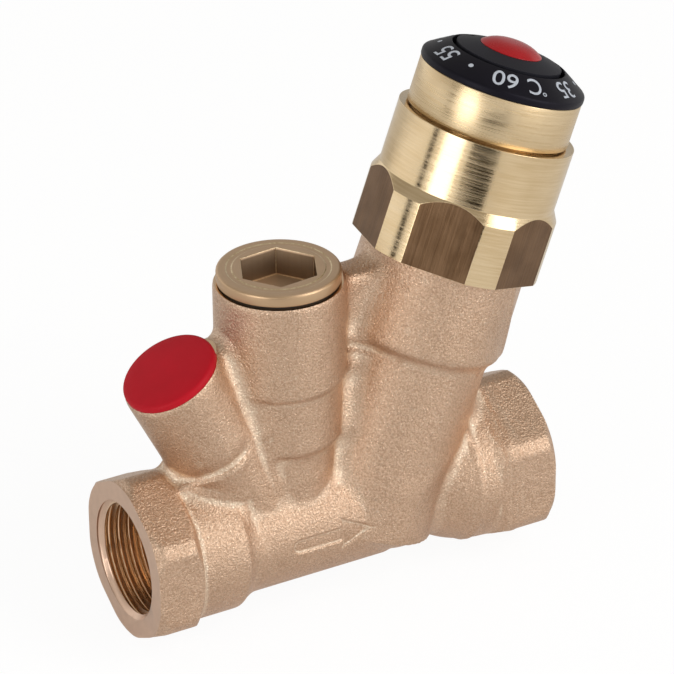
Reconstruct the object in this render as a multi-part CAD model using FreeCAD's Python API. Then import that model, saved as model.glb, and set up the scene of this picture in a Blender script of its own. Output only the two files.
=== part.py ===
"""A thermostatic circulation valve with 1/2 inch ports, set at 50 degrees.

Units are millimetres. The origin is the centre of the inlet port's face, +X runs along the
flow to the outlet, and +Z points up along the axis of the hexagon-socket plug. The bonnet
leans from +Z towards the outlet. Lengths along the bonnet are counted from the point where
its axis crosses the axis of the pipe.
"""
import math
import os

import FreeCAD
import Part

os.makedirs("parts", exist_ok=True)
V = FreeCAD.Vector

# Pipe run and ports
body_length = 75.0
port_thread_r = 9.32
port_thread_length = 15.0
port_mouth_r = 9.92
port_mouth_depth = 0.45
port_flats = 26.5
port_corner_r = 14.7
inlet_hex_length = 8.0
outlet_hex_length = 10.0
barrel_inset = 0.5
collar_r = 13.15
collar_length = 8.9
collar_slope = 2.4
pipe_r = 11.1
flare_r = 18.0

# Bonnet neck of the casting, along the bonnet's axis
bonnet_tilt = 20.0
bonnet_offset = 8.0
bonnet_x = body_length / 2 + bonnet_offset
neck_r = 11.8
neck_top_r = 13.9
neck_step_r = 14.2
neck_bottom = 7.2
neck_step = 27.0
neck_step_height = 2.4
neck_top = 44.1
neck_foot_round = 5.0
neck_step_round = 0.8
neck_rim_round = 1.6

# Upright boss of the plug
plug_offset = 8.0
plug_x = body_length / 2 - plug_offset
boss_low_r = 9.0
boss_mid_step = 1.0
boss_high_step = 0.8
boss_mid_r = boss_low_r + boss_mid_step
boss_high_r = boss_mid_r + boss_high_step
boss_mid_bottom = 15.8
boss_high_bottom = 26.7
boss_step_height = 0.7
boss_ledge_round = 0.85
boss_round = 0.45
boss_top = 44.1

# Leaning boss of the thermometer pocket
pocket_tilt = -27.2
pocket_offset = 11.5
pocket_x = body_length / 2 - pocket_offset
pocket_boss_r = 8.4
pocket_draft = 0.5
pocket_top = 36.0
pocket_r = 4.5
pocket_floor = 16.0

# Webs that join the bosses
web_low = 6.0
web_high = 6.5
web_sink = 1.0
web_foot = 3.0
seam_angles = (100.0, 190.0, 280.0, 10.0)

# Waterways
chamber_r = 9.9
chamber_floor = 4.5
chamber_top = 32.0
seat_bore_r = 4.6
seat_lip_r = 6.2
seat_top = 6.0
passage_r = 4.8
passage_drop = 4.2
outlet_passage_r = 4.2
outlet_passage_z = 5.5
bypass_r = 3.0

# Bonnet
bar_r = 16.0
bar_flats = 30.1
bar_turn = 50.0
bar_length = 10.4
shoulder_length = 1.9
housing_r = 15.0
housing_top = 67.0
spigot_r = 12.1
thread_gap = 0.1
overcut = 1.0
gasket_height = 1.0
bonnet_bore_r = 10.0
bonnet_roof = 66.0
groove_height = 0.9
groove_r = 12.6
head_r = 11.0
head_top = 72.5
slot_width = 4.1
slot_r = 10.8

# Scale and setting parts
collar_out_r = 13.75
scale_bottom = 74.9
scale_r = 13.87
scale_edge = 1.2
scale_top = 78.9
scale_bore_r = 9.5
scale_skirt_gap = 0.2
scale_skirt_height = 1.4
scale_round = 0.35
disc_r = 8.9
disc_bottom = 75.2
disc_edge_top = 79.0
disc_top = 79.9
cap_seat_r = 4.6
cap_stem_bottom = 77.6
dome_r = 5.2
dome_rise = 1.5
disc_rim = 1.8
disc_round = 0.5
disc_bevel = 0.6
mark_width = 1.0
mark_depth = 0.35
pointer_angle = 116.0

# Spindle
running = 0.05
journal_r = 5.0
shank_r = 3.9
shank_end = 52.5
flange_r = 7.5
flange_bottom = 63.0
flange_height = 2.4
washer_height = 0.5
ring_groove_r = 3.9
ring_height = 1.4
ring_low = 67.2
ring_high = 70.0
hub_r = 3.5
hub_top = 77.0
key_flats = 2.5
key_depth = 3.5
clip_level = 72.6
clip_height = 0.8
clip_groove_r = 4.2
clip_r = 6.6

# Lift nut, cup and safety spring
nut_bottom = 44.0
nut_roof = 54.0
nut_top = 60.0
nut_bore_r = 7.4
lug_gap = 0.1
lug_bottom = 50.0
lug_top = 58.0
cup_clip_level = 44.9
cup_clip_height = 0.7
cup_clip_depth = 0.5
cup_clip_bore_r = 5.6
cup_gap = 0.1
cup_height = 1.8
cup_hub_r = 3.5
cup_hub_bottom = 43.2
cup_peg_r = 5.0
cup_peg_top = 49.0
pin_r = 1.75
pin_bottom = 30.0
pin_top = 46.5
safety_r = 6.2
safety_wire = 1.3
safety_turns = 3.5

# Wax element
element_r = 5.0
element_wall = 0.8
element_bottom = 12.5
element_top = 26.5
element_flange_r = 6.8
element_flange_height = 3.0
element_neck_r = 3.4
element_neck_top = 39.0
boot_bottom = 22.5
boot_hole_bottom = 24.5

# Cone and return spring
cone_lift = 3.1
nose_r = 4.3
nose_tip_r = 3.4
nose_length = 2.5
cone_seal_r = 6.4
cone_seal_height = 1.6
cone_hub_r = 6.6
cone_flange_bottom = 17.5
cone_flange_height = 2.5
flow_hole_r = 1.6
spring_r = 8.0
spring_wire = 1.2
spring_turns = 3.5

# Plug and pocket cap
plug_thread_r = 8.2
plug_bottom = 34.0
plug_bore_floor = 31.0
plug_seal_r = 9.7
plug_seal_height = 0.8
plug_flange_r = 10.2
plug_flange_height = 1.6
plug_ring_inner_r = 7.6
plug_ring_outer_r = 8.6
plug_ring_depth = 0.25
plug_bevel = 0.8
plug_flange_round = 0.4
socket_flats = 12.0
socket_turn = 5.7
socket_depth = 4.9
red_cap_r = 8.15
red_cap_height = 1.2
red_cap_stem_bottom = 28.0
red_cap_gap = 0.1
red_cap_round = 0.7
red_cap_crown = 0.25


def rounded_wire(points):
    """A closed wire in the XZ plane. A point's third number rounds its corner, or bevels it if negative."""
    corners = []
    count = len(points)
    for i, point in enumerate(points):
        here = V(point[0], 0, point[1])
        before = V(points[i - 1][0], 0, points[i - 1][1])
        after = V(points[(i + 1) % count][0], 0, points[(i + 1) % count][1])
        radius = point[2] if len(point) > 2 else 0.0
        if radius == 0.0:
            corners.append((here, None, here))
            continue
        a = (before - here).normalize()
        b = (after - here).normalize()
        if a.getAngle(b) > math.pi - 1e-6:
            corners.append((here, None, here))
            continue
        if radius < 0.0:
            corners.append((here - a * radius, None, here - b * radius))
            continue
        half = a.getAngle(b) / 2
        reach = radius / math.tan(half)
        middle = (a + b).normalize()
        top = here + middle * (radius / math.sin(half) - radius)
        corners.append((here + a * reach, top, here + b * reach))
    edges = []
    for i, (start, top, end) in enumerate(corners):
        if top is not None:
            edges.append(Part.Arc(start, top, end).toShape())
        elif start != end:
            edges.append(Part.makeLine(start, end))
        following = corners[(i + 1) % count][0]
        if end.distanceToPoint(following) > 1e-6:
            edges.append(Part.makeLine(end, following))
    return Part.Wire(edges)


def turned(points):
    """A solid turned about Z from (radius, height) points."""
    face = Part.Face(rounded_wire(points))
    return face.revolve(V(0, 0, 0), V(0, 0, 1), 360)


def tube(outer, inner, bottom, top):
    return turned([(inner, bottom), (outer, bottom), (outer, top), (inner, top)])


def rod(radius, bottom, top):
    return Part.makeCylinder(radius, top - bottom, V(0, 0, bottom))


def hexagon(flats, bottom, top, turn=0.0):
    """A hexagonal prism on Z with a corner at the angle turn."""
    corner = flats / math.sqrt(3)
    points = []
    for k in range(7):
        angle = math.radians(turn + 60 * k)
        points.append(V(corner * math.cos(angle), corner * math.sin(angle), bottom))
    return Part.Face(Part.makePolygon(points)).extrude(V(0, 0, top - bottom))


def block(x0, x1, width, bottom, top):
    return Part.makeBox(x1 - x0, width, top - bottom, V(x0, -width / 2, bottom))


def leaning(shape, x, tilt):
    """Places a shape that was made on Z onto an axis that crosses the pipe at x."""
    turn = FreeCAD.Rotation(V(0, 1, 0), tilt)
    moved = shape.copy()
    moved.Placement = FreeCAD.Placement(V(x, 0, 0), turn).multiply(moved.Placement)
    return moved


def on_bonnet(shape):
    return leaning(shape, bonnet_x, bonnet_tilt)


def on_pocket(shape):
    return leaning(shape, pocket_x, pocket_tilt)


def on_plug(shape):
    return leaning(shape, plug_x, 0.0)


def along_pipe(shape):
    """Turns a shape made on Z so that its Z runs along +X, with its X pointing down."""
    turn = FreeCAD.Rotation(V(0, 1, 0), 90)
    moved = shape.copy()
    moved.Placement = FreeCAD.Placement(V(0, 0, 0), turn).multiply(moved.Placement)
    return moved


def axis_point(x, tilt, along, across=0.0):
    """A point in the middle plane, measured along a leaning axis and square to it."""
    s = math.sin(math.radians(tilt))
    c = math.cos(math.radians(tilt))
    return V(x + along * s + across * c, 0, along * c - across * s)


def joined(body, boss, place):
    """Adds a boss to the casting, turned about its own axis so that its seam stays clear of the join."""
    for angle in seam_angles:
        piece = boss.copy()
        piece.rotate(V(0, 0, 0), V(0, 0, 1), angle)
        whole = body.fuse(place(piece))
        if len(whole.Solids) == 1 and whole.isValid() and whole.Volume > body.Volume:
            break
    return whole


def web(points, thickness):
    """A flat web of the casting, lying in the middle plane."""
    wire = Part.makePolygon(points + points[:1])
    sheet = Part.Face(wire).extrude(V(0, thickness, 0))
    sheet.translate(V(0, -thickness / 2, 0))
    return sheet


def spring(radius, wire, bottom, top, turns):
    """A compression spring of square wire on Z between two flat seats."""
    length = top - bottom - wire
    spine = Part.Wire(Part.makeHelix(length / turns, length, radius).Edges)
    half = wire / 2
    corners = [V(radius + x * half, 0, z * half) for x, z in ((1, 1), (-1, 1), (-1, -1), (1, -1), (1, 1))]
    section = Part.makePolygon(corners)
    coil = spine.makePipeShell([section], True, True)
    coil.translate(V(0, 0, bottom + wire / 2))
    return coil


def clip(outer, inner, bottom, height, mouth):
    """An open spring ring whose mouth looks along +X."""
    ring = tube(outer, inner, bottom, bottom + height)
    return ring.cut(block(0, 2 * outer, mouth, bottom - 1, bottom + height + 1))


def port_hexagon(start, length):
    """A port's hexagon, corner up, with its corners turned off at both ends."""
    bevel = port_corner_r - port_flats / 2
    end = start + length
    face_r = port_corner_r - bevel * 0.86
    lathe = turned([(0, start), (face_r, start), (port_corner_r, start + bevel * 0.7),
                    (port_corner_r, end - bevel * 0.7), (face_r, end), (0, end)])
    return along_pipe(hexagon(port_flats, start, end).common(lathe))


def make_body():
    # Outside of the pipe run: collars, the pipe and the flared shoulder of the outlet
    inner_end = inlet_hex_length + collar_length
    flare_end = body_length - outlet_hex_length - barrel_inset
    flare_start = flare_end - flare_r * 0.8
    flare_low = collar_r - flare_r * 0.4
    flare_mid_x = flare_end - flare_r * 0.4
    flare_mid_r = collar_r - flare_r + math.sqrt(flare_r ** 2 - (flare_r * 0.4) ** 2)
    run = [V(0, 0, barrel_inset), V(collar_r, 0, barrel_inset), V(collar_r, 0, inner_end)]
    edges = [Part.makeLine(run[0], run[1]), Part.makeLine(run[1], run[2])]
    slope = V(pipe_r, 0, inner_end + collar_slope)
    edges.append(Part.makeLine(run[2], slope))
    waist = V(pipe_r, 0, bonnet_x)
    edges.append(Part.makeLine(slope, waist))
    arc_start = V(flare_low, 0, flare_start)
    edges.append(Part.makeLine(waist, arc_start))
    arc_end = V(collar_r, 0, flare_end)
    edges.append(Part.Arc(arc_start, V(flare_mid_r, 0, flare_mid_x), arc_end).toShape())
    rim = V(collar_r, 0, body_length - barrel_inset)
    edges.append(Part.makeLine(arc_end, rim))
    foot = V(0, 0, body_length - barrel_inset)
    edges.append(Part.makeLine(rim, foot))
    edges.append(Part.makeLine(foot, run[0]))
    barrel = Part.Face(Part.Wire(edges)).revolve(V(0, 0, 0), V(0, 0, 1), 360)
    near = collar_slope / 20
    softened = [e for e in barrel.Edges
                if e.BoundBox.ZLength < 1e-3 and inner_end - near < e.CenterOfMass.z < slope.z + near]
    barrel = barrel.makeFillet(collar_slope * 0.6, softened)
    body = along_pipe(barrel)

    # Bosses and webs
    neck = turned([(0, -neck_bottom), (neck_r, -neck_bottom, neck_foot_round),
                   (neck_r, neck_step, neck_step_round),
                   (neck_step_r, neck_step + neck_step_height, neck_rim_round), (neck_top_r, neck_top),
                   (0, neck_top)])
    rise = boss_step_height
    boss = turned([(0, 0), (boss_low_r, 0), (boss_low_r, boss_mid_bottom),
                   (boss_mid_r, boss_mid_bottom + rise, boss_ledge_round), (boss_mid_r, boss_high_bottom),
                   (boss_high_r, boss_high_bottom + rise, boss_ledge_round),
                   (boss_high_r, boss_top, boss_round), (0, boss_top)])
    pocket = turned([(0, 0), (pocket_boss_r + pocket_draft, 0), (pocket_boss_r, pocket_top, boss_round),
                     (0, pocket_top)])
    low_web = web([axis_point(pocket_x, pocket_tilt, pocket_top * 0.3),
                   axis_point(pocket_x, pocket_tilt, pocket_top - web_sink, pocket_boss_r - web_sink),
                   V(plug_x - boss_high_r + web_sink * 1.5, 0, boss_top - web_sink * 7),
                   V(plug_x - web_foot, 0, boss_mid_bottom)], web_low)
    high_web = web([V(plug_x + web_foot, 0, pipe_r - web_sink * 2),
                    V(plug_x + boss_high_r - web_sink, 0, boss_top - web_sink * 1.2),
                    axis_point(bonnet_x, bonnet_tilt, neck_top - web_sink * 2, web_sink * 2 - neck_top_r),
                    axis_point(bonnet_x, bonnet_tilt, pipe_r)], web_high)
    inlet = port_hexagon(0.0, inlet_hex_length)
    outlet = port_hexagon(body_length - outlet_hex_length, outlet_hex_length)
    body = joined(body, neck, on_bonnet)
    body = joined(body, boss, on_plug)
    body = joined(body, pocket, on_pocket)
    for piece in (low_web, high_web, inlet, outlet):
        body = body.fuse(piece)

    # Ports, with their mouths chamfered
    flare = (port_mouth_r - port_thread_r) / port_mouth_depth
    mouth_in = turned([(0, -overcut), (port_mouth_r + flare * overcut, -overcut),
                       (port_thread_r, port_mouth_depth), (port_thread_r, port_thread_length),
                       (0, port_thread_length + port_thread_r * 0.32)])
    mouth_out = mouth_in.copy()
    mouth_out.rotate(V(0, 0, 0), V(1, 0, 0), 180)
    mouth_out.translate(V(0, 0, body_length))

    # Waterways: under the seat, through it, round the cone and out
    target = axis_point(bonnet_x, bonnet_tilt, -passage_drop)
    source = V(port_thread_length - overcut, 0, 0)
    run_under = target - source
    under = Part.makeCylinder(passage_r, run_under.Length + passage_r * 0.6, source, run_under)
    chamber = turned([(0, -passage_drop), (seat_bore_r, -passage_drop), (seat_bore_r, seat_top),
                      (seat_lip_r, seat_top), (seat_lip_r, chamber_floor), (chamber_r, chamber_floor),
                      (chamber_r, chamber_top), (spigot_r + thread_gap, chamber_top),
                      (spigot_r + thread_gap, neck_top + overcut), (0, neck_top + overcut)])
    exit_start = bonnet_x + chamber_r * 1.05
    out = Part.makeCylinder(outlet_passage_r, body_length - port_thread_length + overcut - exit_start,
                            V(exit_start, 0, outlet_passage_z), V(1, 0, 0))

    # Plug bore with its bypass hole, and the dry thermometer pocket
    plug_bore = turned([(0, 0), (bypass_r, 0), (bypass_r, plug_bore_floor - bypass_r * 0.7),
                        (plug_thread_r + thread_gap, plug_bore_floor),
                        (plug_thread_r + thread_gap, boss_top + overcut), (0, boss_top + overcut)])
    pocket_bore = turned([(0, pocket_floor - pocket_r * 0.4), (pocket_r, pocket_floor),
                          (pocket_r, pocket_top + overcut), (0, pocket_top + overcut)])
    cutters = [along_pipe(mouth_in), along_pipe(mouth_out), under, on_bonnet(chamber), out,
               on_plug(plug_bore), on_pocket(pocket_bore)]
    for cutter in cutters:
        body = body.cut(cutter)
    return body.removeSplitter()


def make_bonnet():
    shoulder = neck_top + bar_length
    outside = turned([(0, chamber_top + gasket_height), (spigot_r, chamber_top + gasket_height),
                      (spigot_r, neck_top), (bar_r, neck_top), (bar_r, shoulder),
                      (housing_r, shoulder + shoulder_length), (housing_r, housing_top, boss_round),
                      (groove_r, housing_top), (groove_r, housing_top + groove_height),
                      (head_r, housing_top + groove_height), (head_r, head_top), (0, head_top)])
    low = neck_top - overcut
    high = shoulder + shoulder_length + overcut
    jaw = hexagon(bar_flats, low, high, bar_turn - 30)
    waste = rod(bar_r * 1.3, low, high).cut(jaw)
    bonnet = outside.cut(waste)
    bore = turned([(0, chamber_top), (bonnet_bore_r, chamber_top), (bonnet_bore_r, bonnet_roof),
                   (journal_r + running, bonnet_roof), (journal_r + running, head_top + overcut),
                   (0, head_top + overcut)])
    bonnet = bonnet.cut(bore)
    slots = block(-slot_r, slot_r, slot_width, chamber_top, nut_top)
    return bonnet.cut(slots.common(rod(slot_r, chamber_top, nut_top)))


def make_scale_ring():
    skirt = head_r - scale_skirt_gap
    low = scale_bottom - scale_skirt_height
    return turned([(scale_bore_r, low), (skirt, low), (skirt, scale_bottom), (scale_r, scale_bottom),
                   (scale_r, scale_bottom + scale_edge, scale_round),
                   (scale_bore_r, scale_top, scale_round * 0.7)])


def make_pointer_disc():
    seat = cap_stem_bottom - disc_bevel
    disc = turned([(hub_r, disc_bottom), (disc_r - disc_bevel, disc_bottom),
                   (disc_r, disc_bottom + disc_bevel), (disc_r, disc_edge_top, disc_round),
                   (dome_r + disc_bevel, disc_top), (cap_seat_r, disc_top), (cap_seat_r, seat), (hub_r, seat)])
    mark = block(disc_r - disc_rim, disc_r + overcut, mark_width, disc_edge_top - mark_depth,
                 disc_top + overcut)
    mark.rotate(V(0, 0, 0), V(0, 0, 1), pointer_angle)
    return disc.cut(mark)


def make_tamper_cap():
    crown = disc_top + dome_rise
    stem = cap_seat_r - red_cap_gap
    edge = disc_top + dome_rise * 0.23
    swell = (dome_r ** 2 + (crown - edge) ** 2) / (2 * (crown - edge))
    along = dome_r / 2
    shoulder = crown - swell + math.sqrt(swell ** 2 - along ** 2)
    points = [V(0, 0, cap_stem_bottom), V(stem, 0, cap_stem_bottom), V(stem, 0, disc_top),
              V(dome_r, 0, disc_top), V(dome_r, 0, edge)]
    edges = [Part.makeLine(a, b) for a, b in zip(points, points[1:])]
    top = V(0, 0, crown)
    edges.append(Part.Arc(points[-1], V(along, 0, shoulder), top).toShape())
    edges.append(Part.makeLine(top, points[0]))
    return Part.Face(Part.Wire(edges)).revolve(V(0, 0, 0), V(0, 0, 1), 360)


def make_spindle():
    low = ring_low
    high = ring_high
    bevel = shank_r * 0.15
    spindle = turned([(0, shank_end), (shank_r - bevel, shank_end), (shank_r, shank_end + bevel),
                      (shank_r, flange_bottom), (flange_r, flange_bottom),
                      (flange_r, flange_bottom + flange_height), (journal_r, flange_bottom + flange_height),
                      (journal_r, low), (ring_groove_r, low), (ring_groove_r, low + ring_height),
                      (journal_r, low + ring_height), (journal_r, high), (ring_groove_r, high),
                      (ring_groove_r, high + ring_height), (journal_r, high + ring_height),
                      (journal_r, clip_level), (clip_groove_r, clip_level),
                      (clip_groove_r, clip_level + clip_height), (journal_r, clip_level + clip_height),
                      (journal_r, disc_bottom), (hub_r, disc_bottom), (hub_r, hub_top), (0, hub_top)])
    return spindle.cut(hexagon(key_flats, hub_top - key_depth, hub_top + overcut))


def make_lift_nut():
    outer = bonnet_bore_r - running
    groove = nut_bore_r + cup_clip_depth
    top = cup_clip_level + cup_clip_height
    bevel = cup_clip_depth * 0.8
    nut = turned([(nut_bore_r, nut_bottom), (outer, nut_bottom, -bevel), (outer, nut_top, -bevel),
                  (shank_r + running, nut_top), (shank_r + running, nut_roof), (nut_bore_r, nut_roof),
                  (nut_bore_r, top), (groove, top), (groove, cup_clip_level), (nut_bore_r, cup_clip_level)])
    lug = slot_width - 2 * lug_gap
    reach = slot_r - lug_gap
    lugs = block(-reach, reach, lug, lug_bottom, lug_top)
    lugs = lugs.common(tube(reach, outer - cup_clip_depth, lug_bottom, lug_top))
    return nut.fuse(lugs).removeSplitter()


def make_thrust_cup():
    flange = cup_clip_level + cup_clip_height + cup_gap
    rim = nut_bore_r - running
    cup = turned([(0, pin_top), (pin_r, pin_top), (pin_r, cup_hub_bottom), (cup_hub_r, cup_hub_bottom),
                  (cup_hub_r, flange), (rim, flange), (rim, flange + cup_height),
                  (cup_peg_r, flange + cup_height), (cup_peg_r, cup_peg_top), (0, cup_peg_top)])
    return cup


def make_cone():
    seal = seat_top + cone_lift
    top = cone_flange_bottom + cone_flange_height
    cone = turned([(0, seal - nose_length), (nose_tip_r, seal - nose_length), (nose_r, seal),
                   (nose_r, seal + cone_seal_height), (cone_hub_r, seal + cone_seal_height),
                   (cone_hub_r, cone_flange_bottom), (chamber_r - running, cone_flange_bottom),
                   (chamber_r - running, top), (element_r + running, top),
                   (element_r + running, element_bottom), (0, element_bottom)])
    for k in range(4):
        level = element_bottom + flow_hole_r * 1.5
        hole = Part.makeCylinder(flow_hole_r, chamber_r, V(0, 0, level), V(1, 0, 0))
        hole.rotate(V(0, 0, 0), V(0, 0, 1), 45 + 90 * k)
        cone = cone.cut(hole)
    return cone


def make_element_cup():
    inner = element_r - element_wall
    return turned([(0, element_bottom), (element_r, element_bottom, -element_wall * 0.6),
                   (element_r, element_top),
                   (inner, element_top), (inner, element_bottom + element_wall),
                   (0, element_bottom + element_wall)])


def make_element_guide():
    bore = pin_r + running
    flange = element_top + element_flange_height
    bevel = element_wall * 0.5
    return turned([(bore, element_top), (element_flange_r, element_top, -bevel),
                   (element_flange_r, flange, -bevel), (element_neck_r, flange),
                   (element_neck_r, element_neck_top, -bevel), (bore, element_neck_top)])


def make_boot():
    inner = element_r - element_wall - red_cap_gap
    hole = pin_r + 2 * running
    return turned([(0, boot_bottom), (inner, boot_bottom), (inner, element_top), (hole, element_top),
                   (hole, boot_hole_bottom), (0, boot_hole_bottom)])


def make_plug():
    under = boss_top + plug_seal_height
    top = under + plug_flange_height
    groove = top - plug_ring_depth
    plug = turned([(0, plug_bottom), (plug_thread_r - plug_bevel, plug_bottom),
                   (plug_thread_r, plug_bottom + plug_bevel), (plug_thread_r, under),
                   (plug_flange_r, under, plug_flange_round), (plug_flange_r, top, plug_flange_round),
                   (plug_ring_outer_r, top), (plug_ring_outer_r, groove), (plug_ring_inner_r, groove),
                   (plug_ring_inner_r, top), (0, top)])
    return plug.cut(hexagon(socket_flats, top - socket_depth, top + overcut, socket_turn))


def make_port_cap():
    stem = pocket_r - red_cap_gap
    top = pocket_top + red_cap_height
    return turned([(0, red_cap_stem_bottom), (stem - plug_bevel, red_cap_stem_bottom),
                   (stem, red_cap_stem_bottom + plug_bevel), (stem, pocket_top), (red_cap_r, pocket_top),
                   (red_cap_r, top, red_cap_round), (0, top + red_cap_crown)])


def make_all():
    seal = seat_top + cone_lift
    cup_top = cup_clip_level + cup_clip_height + cup_gap + cup_height
    collar_bottom = housing_top + groove_height
    shaft = journal_r + running
    nodes = {
        "valve_body": make_body(),
        "bonnet": on_bonnet(make_bonnet()),
        "bonnet_seal": on_bonnet(tube(spigot_r - thread_gap, bonnet_bore_r + thread_gap * 4, chamber_top,
                                      chamber_top + gasket_height)),
        "scale_collar": on_bonnet(turned([(head_r + thread_gap, collar_bottom),
                                          (collar_out_r, collar_bottom, -thread_gap * 2),
                                          (collar_out_r, scale_bottom),
                                          (head_r + thread_gap, scale_bottom)])),
        "scale_ring": on_bonnet(make_scale_ring()),
        "pointer_disc": on_bonnet(make_pointer_disc()),
        "tamper_cap": on_bonnet(make_tamper_cap()),
        "setting_spindle": on_bonnet(make_spindle()),
        "spindle_seal_lower": on_bonnet(tube(journal_r, ring_groove_r + thread_gap, ring_low,
                                             ring_low + ring_height)),
        "spindle_seal_upper": on_bonnet(tube(journal_r, ring_groove_r + thread_gap, ring_high,
                                             ring_high + ring_height)),
        "thrust_washer": on_bonnet(tube(flange_r, shaft, flange_bottom + flange_height,
                                        flange_bottom + flange_height + washer_height)),
        "spindle_clip": on_bonnet(clip(clip_r, clip_groove_r + running, clip_level, clip_height, clip_r)),
        "lift_nut": on_bonnet(make_lift_nut()),
        "thrust_cup": on_bonnet(make_thrust_cup()),
        "cup_clip": on_bonnet(clip(nut_bore_r + cup_clip_depth - running, cup_clip_bore_r, cup_clip_level,
                                   cup_clip_height, cup_clip_bore_r)),
        "safety_spring": on_bonnet(spring(safety_r, safety_wire, cup_top, nut_roof, safety_turns)),
        "element_pin": on_bonnet(turned([(0, pin_bottom), (pin_r - running, pin_bottom, -pin_r * 0.23),
                                         (pin_r - running, pin_top), (0, pin_top)])),
        "element_guide": on_bonnet(make_element_guide()),
        "element_boot": on_bonnet(make_boot()),
        "element_cup": on_bonnet(make_element_cup()),
        "wax_charge": on_bonnet(rod(element_r - element_wall - red_cap_gap, element_bottom + element_wall,
                                    boot_bottom)),
        "valve_cone": on_bonnet(make_cone()),
        "cone_seal": on_bonnet(tube(cone_seal_r, nose_r + running, seal, seal + cone_seal_height)),
        "return_spring": on_bonnet(spring(spring_r, spring_wire, chamber_floor, cone_flange_bottom,
                                          spring_turns)),
        "bypass_plug": on_plug(make_plug()),
        "plug_seal": on_plug(tube(plug_seal_r, plug_thread_r + thread_gap, boss_top,
                                  boss_top + plug_seal_height)),
        "port_cap": on_pocket(make_port_cap()),
    }
    return nodes


for name, shape in make_all().items():
    shape.exportStep("parts/" + name + ".step")
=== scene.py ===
# %% [markdown]
# # A thermostatic circulation valve
# The real valve is a gunmetal casting about 75 mm long, with a threaded port at each end, a turned
# brass bonnet that leans over the outlet, a hexagon-socket plug and a red cap. The packed model
# gives every piece its place. This lesson dresses that model: it rounds the casting, cuts the
# threads, prints the scale and gives each piece the finish of its metal, rubber or plastic.

# %% Load the packed model
import math

import bpy
from mathutils import Matrix, Vector


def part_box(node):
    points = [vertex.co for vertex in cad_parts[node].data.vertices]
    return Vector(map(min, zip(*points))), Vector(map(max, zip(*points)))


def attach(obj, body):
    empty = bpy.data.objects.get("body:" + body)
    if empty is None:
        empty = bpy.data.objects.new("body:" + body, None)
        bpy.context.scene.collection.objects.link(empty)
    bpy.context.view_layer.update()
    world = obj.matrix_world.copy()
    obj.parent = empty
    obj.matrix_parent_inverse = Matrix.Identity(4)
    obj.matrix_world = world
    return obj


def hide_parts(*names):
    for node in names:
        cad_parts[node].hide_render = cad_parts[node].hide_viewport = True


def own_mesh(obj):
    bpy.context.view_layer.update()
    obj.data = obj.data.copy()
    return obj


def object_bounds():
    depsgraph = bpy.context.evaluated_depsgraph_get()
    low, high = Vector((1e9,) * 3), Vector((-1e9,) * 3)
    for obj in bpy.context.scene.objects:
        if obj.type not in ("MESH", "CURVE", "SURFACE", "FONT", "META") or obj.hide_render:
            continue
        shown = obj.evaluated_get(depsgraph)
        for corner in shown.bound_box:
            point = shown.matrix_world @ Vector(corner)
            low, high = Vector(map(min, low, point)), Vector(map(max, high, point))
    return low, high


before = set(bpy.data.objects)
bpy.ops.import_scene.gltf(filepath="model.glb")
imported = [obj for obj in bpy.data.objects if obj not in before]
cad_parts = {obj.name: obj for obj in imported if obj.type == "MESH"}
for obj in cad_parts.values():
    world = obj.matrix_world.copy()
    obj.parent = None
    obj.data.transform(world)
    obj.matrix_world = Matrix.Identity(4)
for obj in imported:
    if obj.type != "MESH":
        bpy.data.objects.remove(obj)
cad_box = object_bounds()
MM = 0.001
HAIR = 0.0001 * MM  # a point so near to a cut lies on it
SPECK = 0.001 * MM  # points so near to each other are one
print("nodes", len(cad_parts), "box in mm", [[round(x / MM, 2) for x in c] for c in cad_box])

# %% [markdown]
# ## Tools for the bench
# Operators act on whatever is selected, so each step first puts everything down and then picks up
# one piece. The casting's axes are kept as matrices: a piece is modelled upright on Z, as on a
# lathe, and is then set on the axis where it belongs. Applying that place to the mesh leaves the
# object itself at the origin, which is where the packed pieces have theirs.

# %% Bench tools and the axes of the valve
LENGTH = 75


def axis_at(x, lean):
    """An axis through the pipe's middle at x, which leans towards the outlet by degrees."""
    return Matrix.Translation((x * MM, 0, 0)) @ Matrix.Rotation(math.radians(lean), 4, "Y")


BONNET, PLUG, POCKET = axis_at(45.5, 20), axis_at(29.5, 0), axis_at(26, -27.2)
INLET, OUTLET = axis_at(0, 90), axis_at(LENGTH, -90)


def put_down():
    """Leaves edit mode and deselects everything."""
    if bpy.context.object and bpy.context.object.mode != "OBJECT":
        bpy.ops.object.mode_set(mode="OBJECT")
    bpy.ops.object.select_all(action="DESELECT")


def pick_up(*pieces):
    """Selects pieces in object mode. The first one becomes the active one."""
    put_down()
    for piece in pieces:
        piece.select_set(True)
    bpy.context.view_layer.objects.active = pieces[0]


def begin(name, add, **settings):
    """Starts a piece with one of Blender's add operators, at its size and place, and names it."""
    put_down()
    add(**settings)
    piece = bpy.context.object
    piece.name = piece.data.name = name
    return piece


def open_piece(piece, choose=None):
    """Opens a piece in edit mode, with all of it selected or only the faces that choose picks."""
    pick_up(piece)
    bpy.ops.object.mode_set(mode="EDIT")
    bpy.ops.mesh.select_mode(type="FACE")
    bpy.ops.mesh.select_all(action="SELECT" if choose is None else "DESELECT")
    if choose is not None:
        bpy.ops.object.mode_set(mode="OBJECT")
        for face in piece.data.polygons:
            face.select = choose(face)
        bpy.ops.object.mode_set(mode="EDIT")


def use_tool(piece, kind, **settings):
    """Puts one modifier on a piece, sets it up and applies it."""
    pick_up(piece)
    modifier = piece.modifiers.new(kind.lower(), kind)
    for name, value in settings.items():
        setattr(modifier, name, value)
    bpy.ops.object.modifier_apply(modifier=modifier.name)


def settle(piece, place=Matrix()):
    """Sets a piece on its axis and applies that place to its mesh."""
    pick_up(piece)
    piece.matrix_world = place @ piece.matrix_world
    bpy.ops.object.transform_apply(location=True, rotation=True, scale=True)
    return piece


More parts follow.
